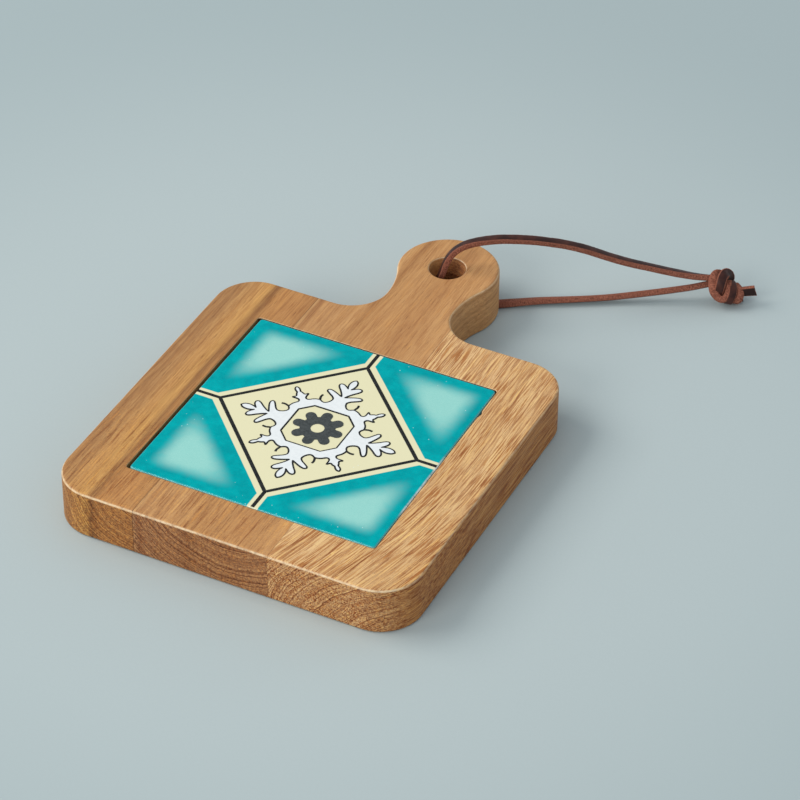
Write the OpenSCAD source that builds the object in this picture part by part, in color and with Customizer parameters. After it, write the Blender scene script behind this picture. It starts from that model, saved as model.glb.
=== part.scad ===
// Square trivet board with a round handle, an inlaid glazed tile and a leather hanging loop.
// The board is glued up from three staves whose grain runs towards the handle.
// Frame: X across the board, Y towards the handle, Z up, underside at Z = 0,
// origin under the middle of the wood.

/* [Board] */
// Width of the square body
body_w = 146; // [136:0.5:170]
// Length of the square body, without the handle
body_l = 146.5; // [136:0.5:170]
// Thickness of the wood
board_t = 20; // [14:0.5:28]
// Corner radius of the body
corner_r = 16.6; // [8:0.1:22]
// Radius of the sanded arris along every edge
arris_r = 1.2; // [0.5:0.1:2]
// Width of the left stave
left_stave_w = 36.9; // [30:0.1:44]
// Width of the middle stave, which carries the handle
middle_stave_w = 55.3; // [50:0.1:66]

/* [Handle] */
// Reach of the handle past the back edge of the body
handle_reach = 60.9; // [57:0.1:80]
// Diameter of the round head
head_d = 40.8; // [37:0.2:45]
// Width of the neck where it is narrowest
neck_w = 29.5; // [24:0.5:33]
// Radius of the fillets between the body and the neck
root_r = 15.3; // [8:0.1:18]
// Sideways place of the handle, from the middle of the body
handle_shift = 0.6; // [-4:0.1:4]
// Diameter of the hanging hole
hole_d = 14.8; // [13.5:0.1:18]
// Sideways place of the hanging hole, from the middle of the head
hole_shift = -0.4; // [-1:0.1:1]
// Radius of the hole's sanded edge
hole_arris_r = 0.7; // [0.2:0.1:1.5]

/* [Tile] */
// Width of the tile
tile_w = 101; // [80:0.1:102]
// Length of the tile
tile_l = 102.3; // [80:0.1:103]
// Thickness of the tile
tile_t = 6.5; // [4:0.1:9]
// Height of the tile's face above the wood
tile_proud = 0.3; // [0:0.1:1]
// Corner radius of the tile
tile_corner_r = 1.3; // [0.8:0.1:4]
// Radius of the tile's rounded edges
tile_edge_r = 0.6; // [0.2:0.1:0.7]
// Gap between the tile and the left wall of its recess
gap_left = 1.4; // [0.2:0.1:3]
// Gap between the tile and the right wall of its recess
gap_right = 0.3; // [0.1:0.1:3]
// Gap between the tile and the back wall of its recess
gap_back = 0.7; // [0.2:0.1:3]
// Gap between the tile and the front wall of its recess
gap_front = 0.2; // [0.1:0.1:3]
// Width of the wood between the left edge of the body and the recess
border_left = 22; // [16:0.1:30]
// Width of the wood between the front edge of the body and the recess
border_front = 21; // [16:0.1:30]
// Corner radius of the recess
recess_corner_r = 1.2; // [0.5:0.1:1.5]
// Thickness of the adhesive under the tile
bed_t = 0.8; // [0.4:0.1:2]
// Diameter of one squeezed dab of adhesive
dab_d = 22; // [10:0.5:30]

/* [Lace] */
// Width of the flat lace
lace_w = 3.6; // [3:0.1:4]
// Thickness of the flat lace
lace_t = 2.5; // [2:0.1:2.6]
// Width of the relief under the head that the lace runs out through
groove_w = 5.6; // [5:0.1:8]
// Depth of that relief
groove_d = 3.1; // [2.9:0.1:5]

/* [Hidden] */
$fn = 96;

// One overrun serves every cut
over = 1;
// Facets across each quarter round of an arris
arris_steps = 4;

total_l = body_l + handle_reach;
front_y = -total_l / 2;
back_y = front_y + body_l;
left_x = -body_w / 2;
right_x = body_w / 2;
glue_left_x = left_x + left_stave_w;
glue_right_x = glue_left_x + middle_stave_w;

head_r = head_d / 2;
head_x = handle_shift;
head_y = back_y + handle_reach - head_r;
hole_r = hole_d / 2;
hole_x = head_x + hole_shift;
neck_r = neck_w / 2;
// Half the width of the neck's root, and how far the neck reaches into the body
root_half = neck_r + root_r;
neck_lap = corner_r;
// The neck is narrowest where its root fillets end and its hollows towards the head begin
neck_y = back_y + root_r;
hollow_rise = head_y - neck_y;
// Radius of the hollow between the neck's side and the head. The radius that would just touch
// the head is rounded up to a whole step and the bite is added, so that the two cross cleanly.
hollow_step = arris_r / 12;
hollow_bite = arris_r / 4;
touching_r = (neck_r * neck_r + hollow_rise * hollow_rise - head_r * head_r) / (2 * (head_r - neck_r));
hollow_r = hollow_step * ceil(touching_r / hollow_step) + hollow_bite;
// From the head's middle towards that of a hollow, to a point inside the hollow
blank_reach = (head_r + root_r) * unit([neck_r + hollow_r, -hollow_rise]);

recess_w = gap_left + tile_w + gap_right;
recess_l = gap_front + tile_l + gap_back;
recess_x = left_x + border_left + recess_w / 2;
recess_y = front_y + border_front + recess_l / 2;
recess_floor_z = board_t + tile_proud - tile_t - bed_t;
tile_x = left_x + border_left + gap_left + tile_w / 2;
tile_y = front_y + border_front + gap_front + tile_l / 2;
// Places of the outer dabs, as shares of the tile's sides
dab_place_share = 0.3;

// The lace lies in one upright plane through the hole. Its points are given there as
// [distance from the hole, sideways to the left, height, roll in degrees].
lace_turn = 32;
// The relief is centred a little beside that plane, because the lower leg drifts that way
groove_side_share = -0.1;
lace_corner_share = 0.16;
upper_route = [[-4, 0, 9, 0], [-4, 0, 10.5, 0], [-3.5, 0, 13, 0], [-2.8, 0, 15.7, 0],
    [-1.9, 0, 18.4, 0], [-0.7, 0, 22.2, 4], [0.9, 0, 25.4, 8], [3.2, 0, 28.2, 12],
    [6.1, 0, 30.1, 15], [9, 0, 31.2, 15], [12.4, 0, 31.9, 14], [16, 0, 32.3, 10],
    [20.8, 0, 32.5, 6], [25.6, 0, 32.2, 4], [30.4, 0, 31.7, -4], [35.2, 0, 31, -4],
    [40, 0, 30, -4], [44.9, 0, 28.9, -3], [49.7, -0.2, 27.6, -3], [54.6, -0.4, 26, 0],
    [59.5, -0.6, 24, 0], [64.4, -0.8, 21.9, 2], [69.3, -1, 20, 4], [74.2, -1.2, 18.3, 6],
    [79.2, -1.4, 16.8, 8], [84, -1.7, 15.4, 8], [89, -1.9, 13.9, 9], [94, -2.2, 12.6, 12],
    [99, -2.5, 11.4, 22], [104, -2.5, 10.4, 34]];
lower_route = [[-4, 0, 9, 0], [-4, 0, 8, 0], [-3.6, 0, 6.1, 0], [-2.3, 0, 3.9, 0],
    [-0.4, 0, 2.3, 0], [1.4, 0, 1.6, 0], [3.4, 0, 1.3, 0], [8, -0.2, 1.3, 0],
    [14.5, -0.6, 1.3, 0], [21, -0.8, 1.5, 6], [28, -0.8, 1.7, 16], [37, -0.7, 1.9, 24],
    [46, -1, 2, 31], [56, -1.3, 2.1, 36], [65.5, -1.4, 2.3, 36], [75.5, -1.6, 3.1, 36],
    [85, -1.9, 4.1, 36], [93, -2.3, 5.2, 36], [98.5, -2.5, 6, 36], [104, -2.5, 7, 36]];

// The lace's way round the knot, in the same plane's places: four closed wraps and two tails
wrap_routes = [
    [[106.9, -2, 10.9], [106.4, -5.2, 10], [106.6, -8.2, 8], [107.6, -9.6, 5.4],
        [109.4, -9.7, 3.9], [111.4, -9, 4.6], [113.2, -6.5, 6.4], [113.6, -3.5, 7.2],
        [112.5, -0.5, 7.5], [110.5, 1, 8.5], [108.4, 0.2, 10.2]],
    [[113.4, -1.9, 11], [111.8, -3.1, 12.3], [110.4, -5.4, 12.2], [109.4, -7.6, 10.9],
        [109, -8.9, 9], [109.1, -8.8, 6.6], [110.2, -7.2, 4], [111.6, -4.4, 3],
        [112.8, -1.6, 4.4], [113.8, -0.3, 7.8]],
    [[114.2, -4.4, 7.2], [114.4, -6.9, 7.1], [113.9, -8.9, 5.6], [113, -9, 3.2],
        [112.7, -7.2, 1.6], [113.1, -4.6, 1.5], [113.6, -2.7, 3.2], [114, -2.8, 5.6]],
    [[116.2, -4.8, 6.9], [116.9, -7.1, 6.5], [116.8, -8.9, 5], [115.9, -9.2, 3],
        [115.3, -7.4, 1.6], [115.4, -4.9, 1.6], [115.7, -3.4, 3.3], [115.9, -3.5, 5.4]]];
tail_routes = [
    [[114.5, -6.2, 5.6, 10], [119, -6.8, 5.8, 20], [123.6, -7.3, 6.2, 30]],
    [[114.5, -6.4, 3.2, 0], [118.5, -7.2, 2.8, 0], [121, -8, 2.6, 0]]];
core_ends = [[106.8, -2.9, 8], [114.8, -6.2, 4.4]];
core_r_share = 0.95;
core_fn = 24;
stub_l_share = 1.4;

function unit(v) = v / norm(v);
function place(p) = [p[0], p[1], p[2]];

// Half section of a board's edge, from its inside to its rim, with both arrises rounded
function edge_profile(depth, t, r) = concat([[0, 0]],
    [for (i = [0:arris_steps]) let (a = 90 * i / arris_steps)
        [depth - r + r * sin(a), r - r * cos(a)]],
    [for (i = [0:arris_steps]) let (a = 90 * i / arris_steps)
        [depth - r + r * cos(a), t - r + r * sin(a)]],
    [[0, t]]);

// Half section of a round cutter whose ends flare, so that it leaves a rounded arris
function flared_profile(radius, t, r) = concat([[0, -over], [radius + r, -over]],
    [for (i = [0:arris_steps]) let (a = 90 * i / arris_steps)
        [radius + r - r * sin(a), r - r * cos(a)]],
    [for (i = [0:arris_steps]) let (a = 90 * i / arris_steps)
        [radius + r - r * cos(a), t - r + r * sin(a)]],
    [[radius + r, t + over], [0, t + over]]);

// Outline of a rectangle with round corners
function rounded_outline(w, l, r) =
    [for (k = [0:3], i = [0:arris_steps]) let (a = 90 * k + 90 * i / arris_steps,
        sx = (k == 0 || k == 3) ? 1 : -1, sy = (k < 2) ? 1 : -1)
        [sx * (w / 2 - r) + r * cos(a), sy * (l / 2 - r) + r * sin(a)]];

// Section of the flat lace, eight corners, sideways by upwards
function lace_section(w, t) = let (c = t * lace_corner_share)
    [[w / 2, c - t / 2], [w / 2, t / 2 - c], [w / 2 - c, t / 2], [c - w / 2, t / 2],
    [-w / 2, t / 2 - c], [-w / 2, c - t / 2], [c - w / 2, -t / 2], [w / 2 - c, -t / 2]];

function route_way(route, i) = let (last = len(route) - 1)
    unit(place(route[min(i + 1, last)]) - place(route[max(i - 1, 0)]));

// The lace's section about a point, across a way, with a side vector and an upward one
function ring_at(p, side, up) =
    [for (c = lace_section(lace_w, lace_t)) p + c[0] * side + c[1] * up];

// One ring of the lace about a point of its route, rolled about its way
function lace_ring(p, way, roll) = let (side = unit([0, 1, 0] - way[1] * way),
    up = cross(way, side))
    ring_at(p, cos(roll) * side - sin(roll) * up, cos(roll) * up + sin(roll) * side);

function route_rings(route) =
    [for (i = [0:len(route) - 1]) lace_ring(place(route[i]), route_way(route, i), route[i][3])];

// Rings of a closed wrap, whose flat side faces away from the middle of the wrap
function wrap_rings(route) = let (n = len(route), middle = sum_of(route) / n)
    [for (i = [0:n]) let (p = route[i % n], way = unit(route[(i + 1) % n] - route[(i + n - 1) % n]),
        out = p - middle, up = unit(out - (out * way) * way)) ring_at(p, cross(up, way), up)];

function sum_of(list, i = 0) = i == len(list) - 1 ? list[i] : list[i] + sum_of(list, i + 1);

module edge_run(length, depth, t, r) {
    rotate([90, 0, 90]) linear_extrude(length) polygon(edge_profile(depth, t, r));
}

module edge_corner(radius, t, r) {
    rotate_extrude(angle = 90) polygon(edge_profile(radius, t, r));
}

module flared_cutter(radius, t, r) {
    rotate_extrude() polygon(flared_profile(radius, t, r));
}

// Flat plate with round corners and rounded arrises, centred on the origin
module plate(w, l, t, radius, r) {
    inner_w = w - 2 * radius;
    inner_l = l - 2 * radius;
    translate([-inner_w / 2, -inner_l / 2, 0]) cube([inner_w, inner_l, t]);
    for (turn = [0, 180]) rotate(turn) {
        translate([-inner_w / 2, inner_l / 2, 0]) edge_run(inner_w, radius, t, r);
        rotate(-90) translate([-inner_l / 2, inner_w / 2, 0]) edge_run(inner_l, radius, t, r);
        translate([inner_w / 2, inner_l / 2, 0]) edge_corner(radius, t, r);
        translate([-inner_w / 2, inner_l / 2, 0]) rotate(90) edge_corner(radius, t, r);
    }
}

// The square body: its back edge is left square where the handle grows out of it
module body_wood() {
    inner_w = body_w - 2 * corner_r;
    inner_l = body_l - 2 * corner_r;
    translate([left_x + corner_r, front_y + corner_r, 0]) cube([inner_w, inner_l, board_t]);
    translate([left_x + corner_r, back_y - corner_r, 0])
        edge_run(head_x - root_half - left_x - corner_r, corner_r, board_t, arris_r);
    translate([head_x + root_half, back_y - corner_r, 0])
        edge_run(right_x - corner_r - head_x - root_half, corner_r, board_t, arris_r);
    translate([right_x - corner_r, front_y + corner_r, 0]) rotate(180)
        edge_run(inner_w, corner_r, board_t, arris_r);
    translate([left_x + corner_r, front_y + corner_r, 0]) rotate(90)
        edge_run(inner_l, corner_r, board_t, arris_r);
    translate([right_x - corner_r, back_y - corner_r, 0]) rotate(-90)
        edge_run(inner_l, corner_r, board_t, arris_r);
    for (sx = [0, 1], sy = [0, 1])
        translate([sx ? right_x - corner_r : left_x + corner_r,
            sy ? back_y - corner_r : front_y + corner_r, 0])
            rotate(sy ? (sx ? 0 : 90) : (sx ? 270 : 180)) edge_corner(corner_r, board_t, arris_r);
}

// The neck in the rough: it starts inside the body and ends inside the head
module neck_blank() {
    linear_extrude(board_t) polygon([[head_x - root_half, back_y - neck_lap],
        [head_x + root_half, back_y - neck_lap], [head_x + root_half, neck_y],
        [head_x + blank_reach[0], head_y + blank_reach[1]], [head_x, head_y],
        [head_x - blank_reach[0], head_y + blank_reach[1]], [head_x - root_half, neck_y]]);
}

// The body and neck: a fillet on each side at the root, and above it a hollow towards the head
module body_and_neck() {
    difference() {
        union() {
            body_wood();
            neck_blank();
        }
        for (side = [-1, 1]) {
            translate([head_x + side * root_half, neck_y, 0])
                flared_cutter(root_r, board_t, arris_r);
            translate([head_x + side * (neck_r + hollow_r), neck_y, 0])
                rotate_extrude(angle = 180) polygon(flared_profile(hollow_r, board_t, arris_r));
        }
    }
}

module head_wood() {
    translate([head_x, head_y, 0]) rotate_extrude() polygon(edge_profile(head_r, board_t, arris_r));
}

module board_cuts() {
    translate([recess_x, recess_y, recess_floor_z])
        linear_extrude(board_t) polygon(rounded_outline(recess_w, recess_l, recess_corner_r));
    translate([hole_x, head_y, 0]) flared_cutter(hole_r, board_t, hole_arris_r);
    translate([hole_x, head_y, 0]) rotate(lace_turn)
        translate([0, groove_side_share * groove_w - groove_w / 2, -over])
            cube([head_d, groove_w, groove_d + over]);
}

// The room of a side stave: beside the neck it ends where the neck is narrowest
module side_room(from_x, to_x) {
    translate([from_x, front_y - over, -over])
        cube([to_x - from_x, neck_y - front_y + over, board_t + 2 * over]);
}

module stave_left() {
    color("peru") difference() {
        intersection() {
            body_and_neck();
            side_room(left_x - over, glue_left_x);
        }
        board_cuts();
    }
}

// The middle stave carries the neck and the whole of the head
module stave_middle() {
    color("sandybrown") difference() {
        union() {
            body_and_neck();
            head_wood();
        }
        side_room(left_x - over, glue_left_x);
        side_room(glue_right_x, right_x + over);
        board_cuts();
    }
}

module stave_right() {
    color("burlywood") difference() {
        intersection() {
            body_and_neck();
            side_room(glue_right_x, right_x + over);
        }
        board_cuts();
    }
}

module tile() {
    color("darkturquoise") translate([tile_x, tile_y, recess_floor_z + bed_t])
        plate(tile_w, tile_l, tile_t, tile_corner_r, tile_edge_r);
}

module tile_adhesive() {
    color("whitesmoke") for (p = [[0, 0], [-1, -1], [-1, 1], [1, -1], [1, 1]])
        translate([tile_x + p[0] * dab_place_share * tile_w,
            tile_y + p[1] * dab_place_share * tile_l, recess_floor_z])
            cylinder(h = bed_t, d = dab_d);
}

// A tube through a list of rings, whose sides are joined by triangles
module tube(rings) {
    sides = len(rings[0]);
    last = (len(rings) - 1) * sides;
    skin = [for (i = [0:len(rings) - 2], k = [0:sides - 1]) let (a = i * sides + k,
        b = i * sides + (k + 1) % sides) each [[a, a + sides, b], [b, a + sides, b + sides]]];
    ends = [for (k = [1:sides - 2]) each [[0, k, k + 1], [last, last + k + 1, last + k]]];
    polyhedron(points = [for (ring = rings) each ring], faces = concat(skin, ends));
}

// A tight bend of lace, closed up length by length
module strap(rings) {
    for (i = [0:len(rings) - 2]) hull() tube([rings[i], rings[i + 1]]);
}

// Places its children in the lace's plane, which passes through the hole
module in_lace_plane() {
    translate([hole_x, head_y, 0]) rotate(lace_turn) children();
}

module lace_upper_leg() {
    color("saddlebrown") in_lace_plane() tube(route_rings(upper_route));
}

module lace_lower_leg() {
    color("sienna") in_lace_plane() tube(route_rings(lower_route));
}

// A short straight length of lace that carries on from the end of a leg into the knot
module knot_entry(route) {
    end = route[len(route) - 1];
    way = route_way(route, len(route) - 1);
    reach = stub_l_share * lace_w;
    strap([lace_ring(place(end), way, end[3]), lace_ring(place(end) + reach * way, way, end[3])]);
}

module lace_knot() {
    color("brown") in_lace_plane() {
        knot_entry(upper_route);
        knot_entry(lower_route);
        for (route = wrap_routes) strap(wrap_rings(route));
        for (route = tail_routes) strap(route_rings(route));
        hull() for (end = core_ends) translate(end) sphere(core_r_share * lace_w, $fn = core_fn);
    }
}

stave_left();
stave_middle();
stave_right();
tile();
tile_adhesive();
lace_upper_leg();
lace_lower_leg();
lace_knot();
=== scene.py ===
# A trivet: a glued wood board with a round handle, an inlaid glazed tile and a leather loop.
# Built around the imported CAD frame. X runs across the board, Y towards the handle, Z up.

import math

import bmesh
import bpy
from mathutils import Matrix, Vector, noise


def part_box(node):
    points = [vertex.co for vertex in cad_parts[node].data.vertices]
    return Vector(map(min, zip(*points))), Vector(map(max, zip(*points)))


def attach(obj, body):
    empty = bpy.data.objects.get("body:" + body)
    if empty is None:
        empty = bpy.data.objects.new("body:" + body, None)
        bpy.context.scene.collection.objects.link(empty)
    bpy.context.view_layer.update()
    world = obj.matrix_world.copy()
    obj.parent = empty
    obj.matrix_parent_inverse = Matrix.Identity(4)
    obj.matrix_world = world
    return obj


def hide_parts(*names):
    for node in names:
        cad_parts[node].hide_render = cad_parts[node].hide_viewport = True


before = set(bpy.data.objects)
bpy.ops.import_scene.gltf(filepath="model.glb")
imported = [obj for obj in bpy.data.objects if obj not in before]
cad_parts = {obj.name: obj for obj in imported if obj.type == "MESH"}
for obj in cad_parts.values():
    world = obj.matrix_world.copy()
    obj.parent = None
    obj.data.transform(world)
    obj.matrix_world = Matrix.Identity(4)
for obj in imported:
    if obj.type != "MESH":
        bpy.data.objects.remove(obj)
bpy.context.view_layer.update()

MM = 0.001


# Camera

CAMERA_PLACE = Vector((459.7, -894.4, 799.4)) * MM
CAMERA_AZIMUTH = 26.15
CAMERA_ELEVATION = 38.08
CAMERA_ROLL = 0.5
CAMERA_LENS = 150.8
CAMERA_SENSOR = 36.0


def add_camera():
    a = math.radians(CAMERA_AZIMUTH)
    e = math.radians(CAMERA_ELEVATION)
    looking = Vector((-math.sin(a) * math.cos(e), math.cos(a) * math.cos(e), -math.sin(e)))
    roll = Matrix.Rotation(math.radians(CAMERA_ROLL), 3, "Z")
    turn = looking.to_track_quat("-Z", "Y").to_matrix() @ roll
    data = bpy.data.cameras.new("camera")
    data.lens = CAMERA_LENS
    data.sensor_width = CAMERA_SENSOR
    camera = bpy.data.objects.new("camera", data)
    camera.matrix_world = Matrix.Translation(CAMERA_PLACE) @ turn.to_4x4()
    bpy.context.collection.objects.link(camera)
    bpy.context.scene.camera = camera
    bpy.context.scene.view_settings.view_transform = "Standard"


# Sizes, in millimetres. What the frame knows is read from it.

def node_box(name):
    low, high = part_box(name)
    return low / MM, high / MM


left_low, left_high = node_box("stave_left")
middle_high = node_box("stave_middle")[1]
right_low, right_high = node_box("stave_right")
tile_low, tile_high = node_box("tile")

LEFT_X = left_low.x
RIGHT_X = right_high.x
GLUE_LEFT_X = left_high.x
GLUE_RIGHT_X = right_low.x
FRONT_Y = left_low.y
BACK_Y = left_high.y
BOARD_T = middle_high.z
HEAD_END_Y = middle_high.y

CORNER_R = 16.6
ARRIS_R = 1.2
HEAD_R = 20.4
NECK_R = 14.75
ROOT_R = 15.3
HANDLE_X = 0.6
HOLE_X = 0.2
HOLE_R = 7.4
HOLE_ARRIS_R = 0.7
HEAD_Y = HEAD_END_Y - HEAD_R
NECK_Y = BACK_Y + ROOT_R
HOLLOW_RISE = HEAD_Y - NECK_Y
HOLLOW_R = (NECK_R ** 2 + HOLLOW_RISE ** 2 - HEAD_R ** 2) / (2 * (HEAD_R - NECK_R))

GAP_LEFT = 1.4
GAP_RIGHT = 0.3
GAP_BACK = 0.7
GAP_FRONT = 0.2
RECESS_CORNER_R = 1.2
RECESS_EDGE_R = 0.35
RECESS_FLOOR_Z = tile_low.z - 0.8

TILE_CORNER_R = 1.3
TILE_EDGE_R = 0.6

LACE_W = 3.6
LACE_T = 2.5
LACE_TURN = 32
GROOVE_W = 5.6
GROOVE_D = 3.1
GROOVE_SIDE = -0.56

# The middle of the tile's ornament
ORNAMENT_X = 1.7
ORNAMENT_Y = -31.2


# Shader maths

def tint(red, green, blue):
    """A colour as the eye reads it, 0 to 255, made linear."""
    return tuple(
        c / 12.92 if c <= 0.04045 else ((c + 0.055) / 1.055) ** 2.4
        for c in (red / 255, green / 255, blue / 255)
    ) + (1.0,)


class Tone:
    """A socket in a finish. Arithmetic on it adds Math nodes."""

    def __init__(self, finish, socket):
        self.finish = finish
        self.socket = socket

    def math(self, operation, *values):
        inputs = dict(enumerate((self,) + values))
        return self.finish.node("Math", {"operation": operation}, inputs)

    def other(self, output):
        return Tone(self.finish, self.socket.node.outputs[output])

    def __add__(self, value):
        return self.math("ADD", value)

    def __sub__(self, value):
        return self.math("SUBTRACT", value)

    def __mul__(self, value):
        return self.math("MULTIPLY", value)

    def __truediv__(self, value):
        return self.math("DIVIDE", value)

    def __rsub__(self, value):
        return self.finish.node("Math", {"operation": "SUBTRACT"}, {0: value, 1: self})

    def __abs__(self):
        return self.math("ABSOLUTE")

    __radd__ = __add__

    def step(self, start, end, low=0.0, high=1.0):
        """A smooth change from low to high as the value goes from start to end."""
        return self.finish.node(
            "MapRange",
            {"interpolation_type": "SMOOTHSTEP"},
            {"Value": self, "From Min": start, "From Max": end, "To Min": low, "To Max": high},
        )


class Finish:
    """One material, a Principled shader with its nodes."""

    def __init__(self, name):
        self.material = bpy.data.materials.new(name)
        self.material.use_nodes = True
        self.tree = self.material.node_tree
        self.tree.nodes.clear()
        self.shader = self.tree.nodes.new("ShaderNodeBsdfPrincipled")
        out = self.tree.nodes.new("ShaderNodeOutputMaterial")
        self.tree.links.new(self.shader.outputs["BSDF"], out.inputs["Surface"])

    def put(self, socket, value):
        if isinstance(value, Tone):
            self.tree.links.new(value.socket, socket)
        else:
            socket.default_value = value

    def node(self, kind, settings=None, inputs=None, output=0):
        made = self.tree.nodes.new("ShaderNode" + kind)
        for key, value in (settings or {}).items():
            setattr(made, key, value)
        for key, value in (inputs or {}).items():
            self.put(made.inputs[key], value)
        return Tone(self, made.outputs[output])

    def set(self, **values):
        names = {
            "color": "Base Color", "roughness": "Roughness", "normal": "Normal",
            "specular": "Specular IOR Level", "coat": "Coat Weight",
            "coat_roughness": "Coat Roughness",
        }
        for key, value in values.items():
            self.put(self.shader.inputs[names[key]], value)
        return self.material

    def object_mm(self):
        """Object coordinates in millimetres."""
        place = self.node("TexCoord", output="Object")
        return self.node("VectorMath", {"operation": "SCALE"}, {0: place, "Scale": 1 / MM})

    def split(self, vector):
        x = self.node("SeparateXYZ", inputs={0: vector})
        return x, x.other(1), x.other(2)

    def join(self, x, y, z):
        return self.node("CombineXYZ", inputs={0: x, 1: y, 2: z})

    def noise(self, vector, scale, detail, roughness=0.5):
        inputs = {"Vector": vector, "Scale": scale, "Detail": detail, "Roughness": roughness}
        return self.node("TexNoise", {}, inputs)

    def noise_at(self, x, y, z, detail, roughness=0.5):
        return self.noise(self.join(x, y, z), 1.0, detail, roughness)

    def noise_along(self, value, detail, roughness):
        inputs = {"W": value, "Scale": 1.0, "Detail": detail, "Roughness": roughness}
        return self.node("TexNoise", {"noise_dimensions": "1D"}, inputs)

    def cells(self, vector, scale=1.0):
        return self.node("TexVoronoi", {}, {"Vector": vector, "Scale": scale}, "Distance")

    def ramp(self, value, stops):
        made = self.node("ValToRGB", inputs={"Fac": value})
        elements = made.socket.node.color_ramp.elements
        while len(elements) < len(stops):
            elements.new(0.5)
        for element, (place, colour) in zip(elements, stops):
            element.position = place
            element.color = colour
        return made

    def mix(self, share, a, b, blend="MIX"):
        settings = {"data_type": "RGBA", "blend_type": blend}
        return self.node("Mix", settings, {0: share, 6: a, 7: b}, 2)

    def darken(self, share, colour, shade):
        return self.mix(share, colour, shade, "MULTIPLY")

    def lighten(self, share, colour, shade):
        return self.mix(share, colour, shade, "SOFT_LIGHT")

    def bump(self, height, strength, distance):
        settings = {"Height": height, "Strength": strength, "Distance": distance * MM}
        return self.node("Bump", {}, settings)


# Wood

WHITE = tint(255, 255, 255)
PORE_PITCH = 2.3
FRONT_BORDER_START = -46.0
FRONT_BORDER_FULL = -56.0
SEAM_HALF = 0.22
BED_REACH = 1.6


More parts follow.
